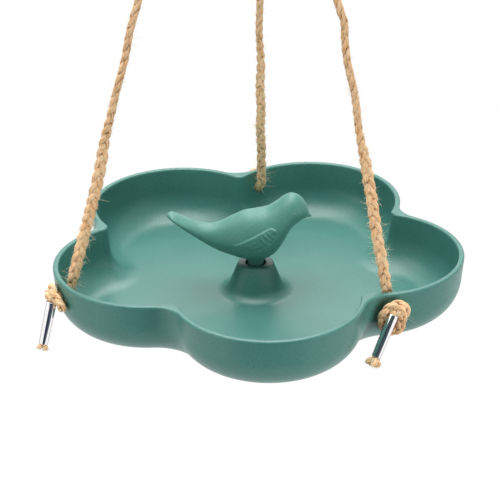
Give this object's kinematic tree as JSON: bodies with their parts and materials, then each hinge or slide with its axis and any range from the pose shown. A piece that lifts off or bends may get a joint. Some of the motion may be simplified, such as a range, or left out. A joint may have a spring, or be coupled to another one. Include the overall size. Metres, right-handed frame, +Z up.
{
  "type": "hanging bird feeder",
  "caption": "Open flower-shaped dish that hangs on ropes from a ring and holds seed or water for birds, with a bird figure that turns on a boss in its middle.",
  "frame": {"origin": "the point at the top of the hanging ring's inside where it bears on a hook", "axes": "+Z up, the dish's mirror plane is XZ with the petal of the left rope towards -X, the ring lies in XZ"},
  "size_m": [0.2533, 0.243, 0.5014],
  "materials": {
    "dish_plastic": "fine matte grain",
    "bird_plastic": "fine matte grain",
    "jute": "plaited jute",
    "sleeve_metal": "bright plated",
    "ring_steel": "bright plated",
    "screw_steel": "zinc plated"
  },
  "bodies": {
    "hanger": {"hanging_ring": "ring_steel"},
    "feeder": {"tray": "dish_plastic", "rope_left": "jute", "knot_left": "jute", "tail_left": "jute", "sleeve_left": "sleeve_metal", "rope_back": "jute", "knot_back": "jute", "tail_back": "jute", "sleeve_back": "sleeve_metal", "rope_right": "jute", "knot_right": "jute", "tail_right": "jute", "sleeve_right": "sleeve_metal", "top_knot": "jute", "top_loop": "jute"},
    "bird": {"bird": "bird_plastic", "bird_screw": "screw_steel", "bird_washer": "screw_steel"}
  },
  "joints": [
    {"name": "swing", "type": "hinge", "parent": "hanger", "child": "feeder", "pos_m": [0, 0, -0.02175], "axis": [1, 0, 0], "range_deg": [-40, 40]},
    {"name": "bird_turn", "type": "hinge", "parent": "feeder", "child": "bird", "pos_m": [0, 0, -0.47], "axis": [0, 0, 1], "continuous": true}
  ]
}
